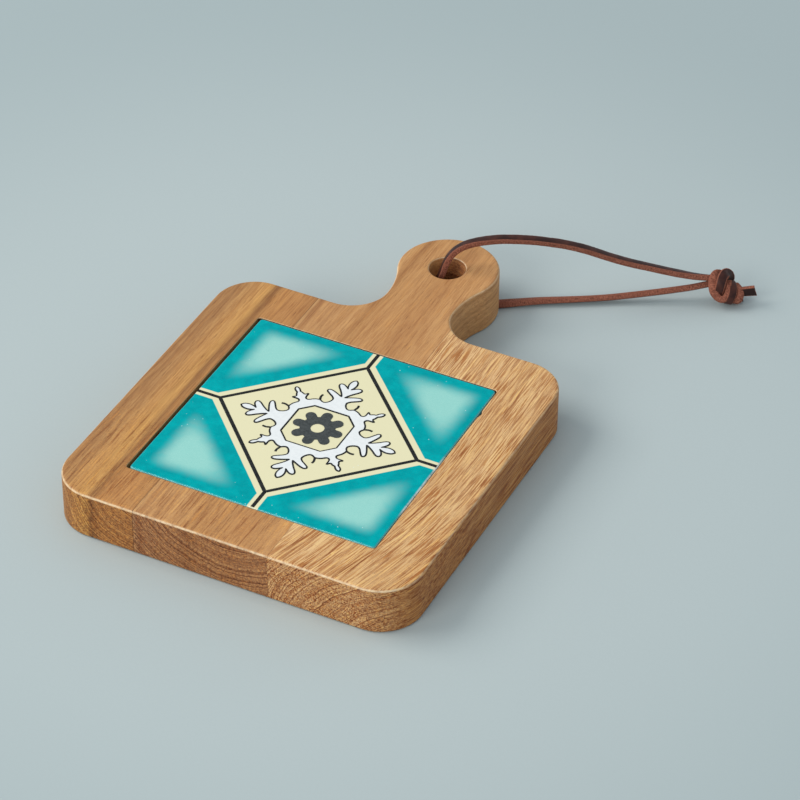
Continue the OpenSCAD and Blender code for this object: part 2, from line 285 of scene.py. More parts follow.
def wood_finish(name, heart, pitch, taper, tones, bands, pores, vigour, seam, end_tone,
                flank_shade=WHITE, lean=(0.0, 0.0)):
    """Solid wood: rings about a heart line, fibres and pores along Y.

    heart is the ring centre (x, z), pitch the width of a ring and taper the slope of its cone,
    tones (share, red, green, blue) from dark to light, bands (x, red, green, blue), pores (share
    kept, length, darkness, streakiness), vigour the strength of the fibres, seam the place of a
    glue line, end_tone what the end grain at the front is darkened by, flank_shade the painted
    shade that darkens the right side, and lean (how far the grain swings to the left, from
    which y forwards).
    """
    paint = Finish(name)
    place = paint.object_mm()
    x, y, z = paint.split(place)
    ahead = (lean[1] - y).math("MAXIMUM", 0.0)
    across = x + ahead * ahead * (lean[0] / 1000)
    slow = paint.noise_at(across * 0.035, y * 0.009, z * 0.05, 3.0) - 0.5
    quick = paint.noise_at(across * 0.3, y * 0.018, z * 0.3, 3.0) - 0.5
    way = paint.split(paint.node("NewGeometry", output="Normal"))
    end = abs(way[1]).step(0.45, 0.9)
    flank = way[0].step(0.5, 0.95)

    ring_x = across - heart[0] + slow * 9.0
    ring_z = z - heart[1]
    radius = (ring_x * ring_x + ring_z * ring_z).math("SQRT") + y * taper + quick * 1.2
    growth = paint.noise_along(radius / pitch, 5.0, 0.68)
    fine_growth = paint.noise_along(radius * 1.9, 3.0, 0.6)
    late = (radius / pitch + slow * 0.6).math("FRACT").step(0.62, 0.97) * (quick + 0.9)
    fibre = paint.noise_at(across * 0.9, y * 0.04, z * 0.9, 5.0, 0.72)
    fine = paint.noise_at(across * 2.4, y, z * 2.4, 4.0, 0.75)
    chatter = paint.noise_at(x * 0.4, y * 1.5, z * 0.4, 3.0, 0.7)
    speckle = paint.noise(place, 1.3, 3.0, 0.75)
    front = y.step(FRONT_BORDER_START, FRONT_BORDER_FULL)
    force = front * max(0.4, 2.4 - vigour * 0.7) + vigour

    # Rings and bands
    tones = [(share, tint(*shade)) for share, *shade in tones]
    colour = paint.ramp(growth.step(0.28, 0.72), tones)
    low = bands[0][0]
    high = bands[-1][0]
    stops = [((where - low) / (high - low), tint(*shade)) for where, *shade in bands]
    swayed = (across + quick * 2.6 + slow * 3.0 - low) / (high - low)
    colour = paint.mix(0.62, colour, paint.ramp(swayed, stops))
    colour = paint.darken(late * (end * 0.45 + 0.08), colour, tones[0][1])

    # Fibres
    lighter = fibre.step(0.50, 0.76)
    darker = fibre.step(0.49, 0.36)
    saw_marks = chatter.step(0.5, 0.75) * (front * 0.4 + 0.1)
    colour = paint.lighten(lighter * force * 0.34, colour, tint(250, 222, 182))
    colour = paint.darken(darker * force * 0.26, colour, tint(182, 138, 94))
    colour = paint.darken(fine.step(0.54, 0.74) * force * 0.22, colour, tint(130, 86, 50))
    colour = paint.lighten(fine.step(0.46, 0.28) * force * 0.26, colour, tint(250, 222, 176))
    colour = paint.lighten(saw_marks, colour, tint(248, 228, 192))

    # Streaks and pores
    kept, length, dark, streaky = pores
    thin = paint.noise_at(across * 1.9, y / (length * 1.5), z * 1.9, 2.5)
    crowd = paint.noise_at(across * 0.16, y * 0.035, z * 0.16, 3.0).step(0.35, 0.62)
    streak = thin.step(0.49, 0.56) * (crowd * 0.45 + 0.55)
    colour = paint.darken(streak * streaky, colour, tint(204, 165, 126))
    colour = paint.lighten(thin.step(0.47, 0.36) * streaky * 0.4, colour, tint(255, 232, 200))
    grid = paint.join(across * PORE_PITCH + quick * 2.0, y / length, z * PORE_PITCH)
    spot = paint.cells(grid)
    chosen = paint.split(spot.other("Color"))[0].step(1 - kept, 1.06 - kept)
    pore = spot.step(0.40, 0.14) * chosen * (1.0 - end * 0.6)
    colour = paint.darken(pore * dark, colour, tint(96, 56, 30))

    # Painted shade on the right side, and the end grain at the front
    colour = paint.darken(flank * 0.75, colour, flank_shade)
    colour = paint.darken(end * 0.5, colour, end_tone)
    late_end = end * fine_growth.step(0.42, 0.64) * 0.7
    colour = paint.darken(late_end, colour, tint(146, 102, 72))
    colour = paint.lighten(end * speckle.step(0.50, 0.66) * 0.75, colour, tint(250, 224, 186))
    colour = paint.darken(end * speckle.step(0.47, 0.30) * 0.7, colour, tint(128, 80, 48))

    # Pale arrises, partly real wear and partly a painted highlight, the painted shade in the recess
    # and the glue line
    uneven = paint.noise(place, 0.5, 3.0, 0.7)
    wear_and_highlight = (way[2] * (1.0 - way[2])).step(0.10, 0.25) * way[2].step(0.0, 0.3)
    wear_and_highlight = wear_and_highlight * uneven.step(0.3, 0.7, 0.35, 0.85) * (1.0 - flank * 0.8)
    colour = paint.mix(wear_and_highlight, colour, tint(248, 222, 182))
    past_x = abs(x - (tile_low.x + tile_high.x) / 2) - (tile_high.x - tile_low.x) / 2
    past_y = abs(y - (tile_low.y + tile_high.y) / 2) - (tile_high.y - tile_low.y) / 2
    buried = past_x.step(BED_REACH, 1.2) * past_y.step(BED_REACH, 1.2)
    buried = buried * z.step(BOARD_T - 0.1, BOARD_T - 0.6)
    colour = paint.mix(buried * 0.92, colour, tint(34, 20, 12))
    line = abs(x - seam).step(SEAM_HALF, 0.05)
    colour = paint.darken(line * 0.55, colour, tint(84, 52, 30))

    rough = 0.5 + fibre * 0.16 + end * 0.1
    relief = fibre * 0.5 - pore * 0.8 + fine * 0.25
    normal = paint.bump(relief, 0.35, 0.12)
    return paint.set(color=colour, roughness=rough, normal=normal, specular=0.25)


def wood_finishes():
    return {
        "stave_left": wood_finish(
            "wood_left", heart=(-34.0, 27.0), pitch=4.2, taper=0.02,
            tones=[(0.0, 136, 92, 56), (0.45, 176, 126, 78), (1.0, 203, 155, 100)],
            bands=[(-75.0, 161, 117, 76), (-66.0, 171, 126, 80), (-61.0, 200, 148, 88),
                   (-56.5, 220, 167, 96), (-53.8, 130, 87, 48), (-50.0, 190, 134, 78),
                   (-43.0, 198, 142, 86), (-36.0, 177, 124, 74)],
            pores=(0.12, 6.0, 0.40, 0.26), vigour=1.25, seam=GLUE_LEFT_X,
            end_tone=tint(255, 255, 250),
        ),
        "stave_middle": wood_finish(
            "wood_middle", heart=(3.0, 46.0), pitch=4.6, taper=0.016,
            tones=[(0.0, 144, 95, 58), (0.5, 186, 134, 84), (1.0, 210, 160, 106)],
            bands=[(-37.0, 224, 181, 126), (-34.0, 162, 113, 72), (-31.0, 196, 148, 99),
                   (-18.0, 196, 147, 96), (-14.0, 174, 125, 77), (-9.0, 196, 146, 94),
                   (-2.0, 200, 150, 97), (4.0, 192, 140, 89), (12.0, 204, 154, 101),
                   (20.0, 202, 152, 101)],
            pores=(0.12, 6.0, 0.40, 0.26), vigour=1.3, seam=GLUE_LEFT_X,
            end_tone=tint(206, 194, 222),
        ),
        "stave_right": wood_finish(
            "wood_right", heart=(92.0, -22.0), pitch=5.2, taper=-0.05,
            tones=[(0.0, 178, 128, 80), (0.5, 208, 160, 108), (1.0, 230, 190, 138)],
            bands=[(18.0, 214, 170, 120), (26.0, 228, 187, 138), (36.0, 224, 181, 130),
                   (48.0, 229, 187, 136), (58.0, 217, 174, 122), (66.0, 227, 187, 136),
                   (75.0, 206, 162, 112)],
            pores=(0.30, 9.0, 0.26, 0.95), vigour=2.6, seam=GLUE_RIGHT_X,
            # Below, the tint that darkens the right side is painted shade
            end_tone=tint(250, 238, 248), flank_shade=tint(212, 174, 134), lean=(1.9, -20.0),
        ),
    }


# Board

ARC_STEP = 1.0
STRAIGHT_STEP = 4.0
ARRIS_STEPS = 6
FLAT_RIM = 0.5
ARRIS_WEAR = 0.22
EDGE_BENDS = [math.radians(30 * i) for i in range(4)]

CHIP_Y = 4.6
CHIP_HALF = 1.9
CHIP_DEPTH = 0.6
CHIP_STEEPNESS = 1.6

BOARD_CREASE = 32
GROOVE_ROUND_R = 1.4
GROOVE_BENDS = [math.radians(18 * i) for i in range(6)]


def arc(centre_x, centre_y, radius, start, end, hollow=False):
    """Points and outward normals along an arc, in degrees."""
    count = max(3, round(abs(math.radians(end - start)) * radius / ARC_STEP))
    sign = -1 if hollow else 1
    run = []
    for i in range(count + 1):
        a = math.radians(start + (end - start) * i / count)
        run.append((centre_x + radius * math.cos(a), centre_y + radius * math.sin(a),
                    sign * math.cos(a), sign * math.sin(a)))
    return run


def joined(runs):
    """Joins arcs into a closed outline, with points along the straights between them."""
    outline = []
    for run, following in zip(runs, runs[1:] + runs[:1]):
        outline.extend(run)
        from_x, from_y, normal_x, normal_y = run[-1]
        to_x, to_y = following[0][:2]
        gap = math.hypot(to_x - from_x, to_y - from_y)
        count = int(gap / STRAIGHT_STEP)
        for i in range(1, count):
            share = i / count
            outline.append((from_x + (to_x - from_x) * share, from_y + (to_y - from_y) * share,
                            normal_x, normal_y))
        if gap < 1e-4:
            outline.pop()
    return outline


def board_outline():
    hollow_x = NECK_R + HOLLOW_R
    root_x = NECK_R + ROOT_R
    turn = math.degrees(math.atan2(HOLLOW_RISE, hollow_x))
    in_left, in_right = LEFT_X + CORNER_R, RIGHT_X - CORNER_R
    in_front, in_back = FRONT_Y + CORNER_R, BACK_Y - CORNER_R
    return joined([
        arc(in_left, in_front, CORNER_R, 180, 270),
        arc(in_right, in_front, CORNER_R, 270, 360),
        arc(in_right, in_back, CORNER_R, 0, 90),
        arc(HANDLE_X + root_x, NECK_Y, ROOT_R, 270, 180, hollow=True),
        arc(HANDLE_X + hollow_x, NECK_Y, HOLLOW_R, 180, 180 - turn, hollow=True),
        arc(HANDLE_X, HEAD_Y, HEAD_R, -turn, 180 + turn),
        arc(HANDLE_X - hollow_x, NECK_Y, HOLLOW_R, turn, 0, hollow=True),
        arc(HANDLE_X - root_x, NECK_Y, ROOT_R, 360, 270, hollow=True),
        arc(in_left, in_back, CORNER_R, 90, 180),
    ])


def rounded_rectangle(low_x, high_x, low_y, high_y, radius):
    return joined([
        arc(low_x + radius, low_y + radius, radius, 180, 270),
        arc(high_x - radius, low_y + radius, radius, 270, 360),
        arc(high_x - radius, high_y - radius, radius, 0, 90),
        arc(low_x + radius, high_y - radius, radius, 90, 180),
    ])


def arris_rings(radius, thickness):
    """(inset, height) of the rings round a plate, from its underside to its top."""
    angles = [math.radians(90 * i / ARRIS_STEPS) for i in range(ARRIS_STEPS + 1)]
    below = [(radius - radius * math.sin(a), radius - radius * math.cos(a)) for a in angles]
    above = [(radius - radius * math.cos(a), thickness - radius + radius * math.sin(a))
             for a in angles]
    return [(radius + FLAT_RIM, 0.0)] + below + above + [(radius + FLAT_RIM, thickness)]


def rolled_edge(radius):
    """(inset, height) of the rings that roll from the board's top down into an opening."""
    return [(-radius - FLAT_RIM, BOARD_T)] + [
        (-radius + radius * math.sin(a), BOARD_T - radius + radius * math.cos(a))
        for a in EDGE_BENDS]


def drift(x, y, pitch, layer):
    """Smooth noise at a place on the board."""
    return noise.noise(Vector((x * pitch, y * pitch, layer)))


def add_rings(bm, outline, rings, uneven=0.0):
    """Skins a stack of offset outlines and returns the first and the last ring."""
    stack = []
    for inset, height in rings:
        ring = []
        for px, py, nx, ny in outline:
            shift = inset * (1 + uneven * drift(px, py, pitch=0.09, layer=3.0))
            ring.append(bm.verts.new(((px - nx * shift) * MM, (py - ny * shift) * MM, height * MM)))
        stack.append(ring)
    for low, high in zip(stack, stack[1:]):
        for i in range(len(outline)):
            j = (i + 1) % len(outline)
            bm.faces.new((low[i], low[j], high[j], high[i]))
    return stack[0], stack[-1]


def ring_edges(bm, ring):
    return [bm.edges.get((a, b)) or bm.edges.new((a, b)) for a, b in zip(ring, ring[1:] + ring[:1])]


def fill_between(bm, rings):
    edges = [edge for ring in rings for edge in ring_edges(bm, ring)]
    bmesh.ops.triangle_fill(bm, use_beauty=True, edges=edges)


def finer(outline):
    """Adds points along the straights of an outline."""
    result = []
    for here, after in zip(outline, outline[1:] + outline[:1]):
        result.append(here)
        gap = math.hypot(after[0] - here[0], after[1] - here[1])
        if gap > STRAIGHT_STEP / 2:
            for share in (0.25, 0.5, 0.75):
                result.append(tuple(a + (b - a) * share for a, b in zip(here, after)))
    return result


def chipped(outline):
    """The recess's outline, with a small chip out of its right wall."""
    result = []
    for px, py, nx, ny in outline:
        near = max(0.0, 1 - abs(py - CHIP_Y) / CHIP_HALF)
        if nx > 0.9:
            px += CHIP_DEPTH * min(1.0, CHIP_STEEPNESS * near)
        result.append((px, py, nx, ny))
    return result


def board_mesh():
    """The whole board, before it is parted at the glue lines."""
    bm = bmesh.new()
    under, top = add_rings(bm, board_outline(), arris_rings(ARRIS_R, BOARD_T), uneven=ARRIS_WEAR)

    recess = rounded_rectangle(
        tile_low.x - GAP_LEFT, tile_high.x + GAP_RIGHT,
        tile_low.y - GAP_FRONT, tile_high.y + GAP_BACK, RECESS_CORNER_R)
    down = rolled_edge(RECESS_EDGE_R) + [(0.0, RECESS_FLOOR_Z)]
    recess_top, recess_floor = add_rings(bm, chipped(finer(recess)), down)
    bm.faces.new(recess_floor)

    hole = arc(HOLE_X, HEAD_Y, HOLE_R, 0, 360)[:-1]
    edge = HOLE_ARRIS_R
    under_edge = [(-edge + edge * math.cos(a), edge - edge * math.sin(a)) for a in EDGE_BENDS]
    down = rolled_edge(edge) + under_edge + [(-edge - FLAT_RIM, 0.0)]
    hole_top, hole_under = add_rings(bm, hole, down)

    fill_between(bm, [top, recess_top, hole_top])
    fill_between(bm, [under, hole_under])
    bmesh.ops.recalc_face_normals(bm, faces=bm.faces)
    for seam in (GLUE_LEFT_X, GLUE_RIGHT_X):
        bmesh.ops.bisect_plane(bm, geom=bm.verts[:] + bm.edges[:] + bm.faces[:], dist=1e-7,
                               plane_co=(seam * MM, 0, 0), plane_no=(1, 0, 0))
    return bm


def stave_of(face):
    centre = face.calc_center_median() / MM
    if centre.x < GLUE_LEFT_X:
        return "stave_left"
    if centre.x > GLUE_RIGHT_X and centre.y < NECK_Y:
        return "stave_right"
    return "stave_middle"


def smooth_up_to(mesh, crease):
    """Shades a mesh smooth, but for edges sharper than a crease in degrees."""
    mesh.shade_smooth()
    mesh.set_sharp_from_angle(angle=math.radians(crease))


def new_piece(name, bm, material, crease=None):
    """Makes an object at the origin out of a finished mesh, with its faces turned outwards."""
    bmesh.ops.recalc_face_normals(bm, faces=bm.faces)
    mesh = bpy.data.meshes.new(name)
    bm.to_mesh(mesh)
    bm.free()
    if crease:
        smooth_up_to(mesh, crease)
    if material:
        mesh.materials.append(material)
    piece = bpy.data.objects.new(name, mesh)
    bpy.context.collection.objects.link(piece)
    return piece


def applied(piece):
    """Makes a piece's modifiers into plain mesh."""
    bpy.context.view_layer.update()
    done = piece.evaluated_get(bpy.context.evaluated_depsgraph_get())
    mesh = bpy.data.meshes.new_from_object(done)
    piece.modifiers.clear()
    piece.data = mesh


def groove_cutter():
    """The relief under the head, with rounded upper corners."""
    radius = GROOVE_ROUND_R
    half = GROOVE_W / 2
    section = [(-half, -1.0)]
    section += [(-half + radius - radius * math.cos(a), GROOVE_D - radius + radius * math.sin(a))
                for a in GROOVE_BENDS]
    section += [(-sx, sz) for sx, sz in reversed(section)]
    bm = bmesh.new()
    ends = []
    for reach in (0.0, HEAD_R * 2):
        ends.append([bm.verts.new((reach * MM, (GROOVE_SIDE + sx) * MM, sz * MM))
                     for sx, sz in section])
    for i in range(len(section)):
        j = (i + 1) % len(section)
        bm.faces.new((ends[0][i], ends[0][j], ends[1][j], ends[1][i]))
    bm.faces.new(ends[0])
    bm.faces.new(ends[1])
    bm.transform(lace_frame())
    return new_piece("groove_cutter", bm, None)


def add_board():
    for name, finish in wood_finishes().items():
        bm = board_mesh()
        others = [face for face in bm.faces if stave_of(face) != name]
        bmesh.ops.delete(bm, geom=others, context="FACES")
        open_edges = [edge for edge in bm.edges if edge.is_boundary]
        made = bmesh.ops.edgeloop_fill(bm, edges=open_edges)
        bmesh.ops.triangulate(bm, faces=made["faces"])
        piece = new_piece(name + "_wood", bm, finish)
        if name == "stave_middle":
            cutter = groove_cutter()
            cut = piece.modifiers.new("relief", "BOOLEAN")
            cut.operation = "DIFFERENCE"
            cut.solver = "EXACT"
            cut.object = cutter
            applied(piece)
            bpy.data.objects.remove(cutter)
        smooth_up_to(piece.data, BOARD_CREASE)
        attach(piece, "root")
        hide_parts(name)


# Tile

# Measured from the middle of the ornament: the legs and the slanted side of the pale pools, the
# cream lozenge and the bands from its corners
POOL_LEG = 45.2
POOL_SLANT = 56.0
LOZENGE_HALF = 45.7
BAND_HALF = 2.2

# How far down its sides the tile is glazed
GLAZE_END = 2.2

TILE_CREASE = 40
TILE_RAGGED = 0.12
POOL_CREASE = 60
POOL_SINK = 0.3
FLOWER_EDGE = 0.12


def glaze(paint, colour, gloss=1.0):
    """Glaze that shines where it turns over at the rims and lies flatter on the face."""
    place = paint.object_mm()
    wave = paint.noise(place, 0.35, 2.0) + paint.noise(place, 2.4, 3.0) * 0.35
    mark = paint.noise(place, 1.7, 3.0)
    rough = mark.step(0.3, 0.8, 0.22, 0.4)
    rise = paint.split(paint.node("NewGeometry", output="Normal"))[2]
    coat = rise.step(0.998, 0.95, 0.0, 1.0) * gloss
    return paint.set(color=colour, roughness=rough, normal=paint.bump(wave, 0.12, 0.25),
                     specular=0.03, coat=coat, coat_roughness=0.12)


def tile_body_finish():
    teal = tint(0, 173, 176)
    deep_teal = tint(0, 151, 157)
    mint = tint(150, 210, 200)
    cream = tint(227, 220, 179)
    paint = Finish("tile_glaze")
    place = paint.object_mm()
    x, y, z = paint.split(place)
    x = x - ORNAMENT_X
    y = y - ORNAMENT_Y
    ax = abs(x)
    ay = abs(y)
    ragged = paint.noise(place, 0.22, 4.0, 0.65) - 0.5
    grainy = paint.noise(place, 2.6, 3.0, 0.7) - 0.5

    # The pale pools in the corners, right triangles with soft edges
    outer = (ax - POOL_LEG).math("SMOOTH_MAX", ay - POOL_LEG, 7.0)
    inner = (POOL_SLANT - ax - ay) * 0.7071
    pool = outer.math("SMOOTH_MAX", inner, 14.0) + ragged * 2.6 + grainy
    pale = pool.step(2.4, -5.0)
    colour = paint.mix((ragged + 0.5).step(0.3, 0.75), deep_teal, teal)
    rimmed = pool.step(9.0, 3.0, 0.0, 0.15)
    colour = paint.mix(rimmed * (1.0 - pale), colour, deep_teal)
    pale_tone = paint.mix((grainy + 0.5).step(0.3, 0.75), mint, tint(164, 219, 208))
    colour = paint.mix(pale * 0.94, colour, pale_tone)

    # The cream lozenge and the bands that run from its corners to the edges
    edge_wave = ragged * 0.35
    lozenge = (ax + ay - LOZENGE_HALF + edge_wave).step(0.16, -0.16)
    bands = ax.math("MINIMUM", ay) + edge_wave
    bands = bands.step(BAND_HALF + 0.15, BAND_HALF - 0.15)
    cream_here = lozenge.math("MAXIMUM", bands)
    cream_tone = paint.mix(grainy + 0.5, cream, tint(235, 228, 190))
    colour = paint.mix(cream_here, colour, cream_tone)

    # Fine speckle
    speck = paint.cells(place, 0.55)
    fleck = speck.step(0.16, 0.07) * paint.split(speck.other("Color"))[1].step(0.93, 0.95)
    colour = paint.mix(fleck * 0.6, colour, tint(225, 240, 238))

    # The glaze is thin on the rims and ends on the sides; a painted glint lies along a stretch of
    # the right rim
    thin = z.step(tile_high.z - 0.55, tile_high.z - 0.1, 1.0, 0.0)
    colour = paint.mix(thin * (ragged + 0.75) * 0.55, colour, tint(190, 232, 232))
    painted_glint = x.step(49.0, 49.7) * y.step(-33.0, -27.0) * y.step(12.0, -4.0)
    painted_glint = painted_glint * (ragged + 0.5).step(0.3, 0.5) * 0.9
    colour = paint.mix(painted_glint, colour, tint(248, 253, 253))
    bisque = z.step(tile_high.z - GLAZE_END, tile_high.z - GLAZE_END - 0.6)
    colour = paint.mix(bisque, colour, tint(214, 198, 176))
    return glaze(paint, colour)


def plain_glaze(name, tone, second, gloss=0.3):
    paint = Finish(name)
    place = paint.object_mm()
    tone = paint.mix(paint.noise(place, 1.1, 4.0, 0.7).step(0.3, 0.7), tone, second)
    return glaze(paint, tone, gloss=gloss)


# One eighth of the frost flower's edge, from the tip on the long arm to the tip on the short one
FROST_EDGE = [
    (0.0, 32.2), (1.0, 31.2), (1.4, 29.4), (1.1, 27.6), (0.6, 26.3), (1.9, 27.3), (3.1, 28.0),
    (4.2, 28.0), (4.6, 27.2), (4.0, 26.0), (2.9, 24.7), (1.8, 23.2), (1.0, 21.9), (0.7, 20.9),
    (2.4, 21.7), (4.6, 22.7), (6.2, 23.1), (7.1, 22.7), (6.9, 21.9), (5.4, 20.8), (3.9, 19.8),
    (3.0, 18.8), (2.8, 17.9), (3.2, 16.6), (4.0, 15.5), (5.0, 14.9), (6.1, 15.1), (7.1, 15.7),
    (8.4, 15.5), (9.5, 15.0), (10.4, 14.3), (11.2, 13.8), (12.0, 13.9), (12.6, 14.5), (12.8, 15.6),
    (12.8, 17.1), (13.4, 16.3), (14.1, 16.1), (15.1, 16.6), (16.1, 16.9), (16.7, 17.7),
    (17.4, 18.4), (18.1, 18.7), (18.7, 18.7),
]
CURL = [(7.1, 15.6), (7.4, 16.5), (7.75, 17.8), (7.6, 19.1)]
OCTAGON_HALF = 11.8
OCTAGON_CUT = 4.6
PETAL_TIP = 10.1
PETAL_HALF = 2.05
PETAL_ROOT = 6.7
FLOWER_EYE = 2.65
LINE_W = 0.95
LOZENGE_LINE_W = 1.5
LINE_STEP = 0.8
LOZENGE_LINE_AT = 41.4

# How far the frost form, and the flower and the lines, stand above the tile
RELIEF = 0.14
HIGH_RELIEF = RELIEF * 1.2


def smooth_through(points, parts, closed=False):
    """A smooth curve through points of any dimension."""
    points = [Vector(p) for p in points]
    count = len(points)
    result = []
    for i in range(count if closed else count - 1):
        before = points[(i - 1) % count] if closed or i else points[0]
        here, after = points[i], points[(i + 1) % count]
        beyond = points[(i + 2) % count] if closed or i + 2 < count else points[-1]
        for k in range(parts):
            t = k / parts
            result.append(
                0.5 * ((2 * here) + (after - before) * t
                       + (2 * before - 5 * here + 4 * after - beyond) * t * t
                       + (3 * here - before - 3 * after + beyond) * t * t * t))
    if not closed:
        result.append(points[-1])
    return result


def quarter_turned(x, y, turns):
    for _ in range(turns):
        x, y = y, -x
    return x, y


def eightfold(points):
    """Mirrors an eighth of a closed figure about its diagonal, then turns it in quarters."""
    quarter = points + [(y, x) for x, y in reversed(points[:-1])]
    return [quarter_turned(x, y, turns) for turns in range(4) for x, y in quarter[:-1]]


def octagon():
    near = OCTAGON_HALF - OCTAGON_CUT
    diagonal = OCTAGON_HALF - OCTAGON_CUT / 2
    return eightfold([(0.0, OCTAGON_HALF), (near, OCTAGON_HALF), (diagonal, diagonal)])


def petal_reach(angle):
    """How far the flower reaches at an angle from the middle of a petal."""
    a = abs((angle + math.pi / 8) % (math.pi / 4) - math.pi / 8)
    middle = PETAL_TIP - PETAL_HALF
    aside = middle * math.sin(a)
    on_cap = middle * math.cos(a) + math.sqrt(max(0.0, PETAL_HALF ** 2 - aside ** 2))
    if aside < PETAL_HALF and on_cap * math.cos(a) >= middle:
        return on_cap
    return max(PETAL_ROOT, PETAL_HALF / max(0.01, math.sin(a)))


def round_figure(count, reach):
    """Points round the middle of the ornament, at the reach that each angle has."""
    angles = [2 * math.pi * i / count for i in range(count)]
    return [(reach(a) * math.sin(a), reach(a) * math.cos(a)) for a in angles]


def on_tile(x, y, height):
    return Vector(((ORNAMENT_X + x) * MM, (ORNAMENT_Y + y) * MM, (tile_high.z + height) * MM))


def glaze_pool(name, loops, height, material, edge=0.0):
    """A low pool of glaze on the tile, bounded by closed loops."""
    bm = bmesh.new()
    for loop in loops:
        ring = [bm.verts.new(on_tile(x, y, height)) for x, y in loop]
        ring_edges(bm, ring)
    bmesh.ops.triangle_fill(bm, use_beauty=True, edges=bm.edges[:])
    grown = bmesh.ops.extrude_face_region(bm, geom=bm.faces[:])
    for item in grown["geom"]:
        if isinstance(item, bmesh.types.BMVert):
            item.co.z -= (height + POOL_SINK) * MM
    piece = new_piece(name, bm, material, crease=TILE_CREASE)
    if edge:
        soft = piece.modifiers.new("soft edge", "BEVEL")
        soft.width = edge * MM
        soft.segments = 3
        soft.limit_method = "ANGLE"
        soft.angle_limit = math.radians(POOL_CREASE)
        applied(piece)
        smooth_up_to(piece.data, POOL_CREASE)
    return piece


def line_tree():
    """Geometry nodes that lay a low rounded bead along every edge of a line drawing."""
    tree = bpy.data.node_groups.new("glaze bead", "GeometryNodeTree")
    face = tree.interface
    face.new_socket("Lines", in_out="INPUT", socket_type="NodeSocketGeometry")
    for label in ("Bead width", "Bead height"):
        face.new_socket(label, in_out="INPUT", socket_type="NodeSocketFloat")
    face.new_socket("Glaze", in_out="INPUT", socket_type="NodeSocketMaterial")
    face.new_socket("Beads", in_out="OUTPUT", socket_type="NodeSocketGeometry")
    new = tree.nodes.new
    given = new("NodeGroupInput")
    result = new("NodeGroupOutput")
    to_curve = new("GeometryNodeMeshToCurve")
    upright = new("GeometryNodeSetCurveNormal")
    upright.mode = "Z_UP"
    section = new("GeometryNodeCurvePrimitiveCircle")
    section.inputs["Resolution"].default_value = 10
    half = new("ShaderNodeMath")
    half.operation = "MULTIPLY"
    half.inputs[1].default_value = 0.5
    sizes = new("ShaderNodeCombineXYZ")
    sizes.inputs["Z"].default_value = 1.0
    shaped = new("GeometryNodeTransform")
    bead = new("GeometryNodeCurveToMesh")
    bead.inputs["Fill Caps"].default_value = True
    coloured = new("GeometryNodeSetMaterial")
    wires = [
        (given, "Lines", to_curve, "Mesh"),
        (to_curve, "Curve", upright, "Curve"),
        (given, "Bead width", half, 0),
        (half, 0, sizes, "X"),
        (given, "Bead height", sizes, "Y"),
        (section, "Curve", shaped, "Geometry"),
        (sizes, "Vector", shaped, "Scale"),
        (upright, "Curve", bead, "Curve"),
        (shaped, "Geometry", bead, "Profile Curve"),
        (bead, "Mesh", coloured, "Geometry"),
        (given, "Glaze", coloured, "Material"),
        (coloured, "Geometry", result, "Beads"),
    ]
    for source, output, target, socket in wires:
        tree.links.new(source.outputs[output], target.inputs[socket])
    return tree


def set_inputs(modifier, values):
    for item in modifier.node_group.interface.items_tree:
        if item.in_out == "INPUT" and item.name in values:
            modifier[item.identifier] = values[item.name]


def stepped(run, closed):
    """Adds points along the straights, so that a bead keeps its width up to a corner."""
    result = []
    for here, after in zip(run, run[1:] + run[:1] if closed else run[1:]):
        count = max(1, round(math.dist(here, after) / LINE_STEP))
        for i in range(count):
            result.append(tuple(a + (b - a) * i / count for a, b in zip(here, after)))
    return result if closed else result + [run[-1]]


def glaze_lines(name, tree, closed, opened, width, material):
    """Raised lines of glaze: closed and open runs of points on the tile."""
    bm = bmesh.new()
    for runs, loops in ((closed, True), (opened, False)):
        for run in runs:
            verts = [bm.verts.new(on_tile(x, y, 0.0)) for x, y in stepped(run, loops)]
            for pair in zip(verts, verts[1:] + verts[:1] if loops else verts[1:]):
                bm.edges.new(pair)
    piece = new_piece(name, bm, None)
    beads = piece.modifiers.new("beads", "NODES")
    beads.node_group = tree
    sizes = {"Bead width": width * MM, "Bead height": HIGH_RELIEF * MM}
    set_inputs(beads, {**sizes, "Glaze": material})
    applied(piece)
    piece.data.shade_smooth()
    return piece


def flat_curve(points):
    return [(p.x, p.y) for p in smooth_through(points, parts=4)]


def frost_curls():
    run = flat_curve(CURL)
    mirrored = [(-x, y) for x, y in run]
    return [[quarter_turned(x, y, turns) for x, y in curl]
            for curl in (run, mirrored) for turns in range(4)]


def lozenge_lines():
    """The lozenge's corners, and the lines from them to the tile's edges."""
    reach = LOZENGE_LINE_AT
    inset = TILE_EDGE_R / 2
    corners = [(0.0, reach), (reach, 0.0), (0.0, -reach), (-reach, 0.0)]
    ends = [(0.0, tile_high.y - ORNAMENT_Y - inset), (tile_high.x - ORNAMENT_X - inset, 0.0),
            (0.0, tile_low.y - ORNAMENT_Y + inset), (tile_low.x - ORNAMENT_X + inset, 0.0)]
    return corners, [[corner, end] for corner, end in zip(corners, ends)]


def tile_bmesh():
    """The tile's body, with slightly uneven sides."""
    bm = bmesh.new()
    sides = rounded_rectangle(tile_low.x, tile_high.x, tile_low.y, tile_high.y, TILE_CORNER_R)
    outline = []
    for px, py, nx, ny in sides:
        nudge = abs(TILE_RAGGED * drift(px, py, pitch=0.11, layer=9.0))
        outline.append((px - nudge * nx, py - nudge * ny, nx, ny))
    rings = [(inset, tile_low.z + height)
             for inset, height in arris_rings(TILE_EDGE_R, tile_high.z - tile_low.z)]
    for ring in add_rings(bm, outline, rings):
        fill_between(bm, [ring])
    return bm


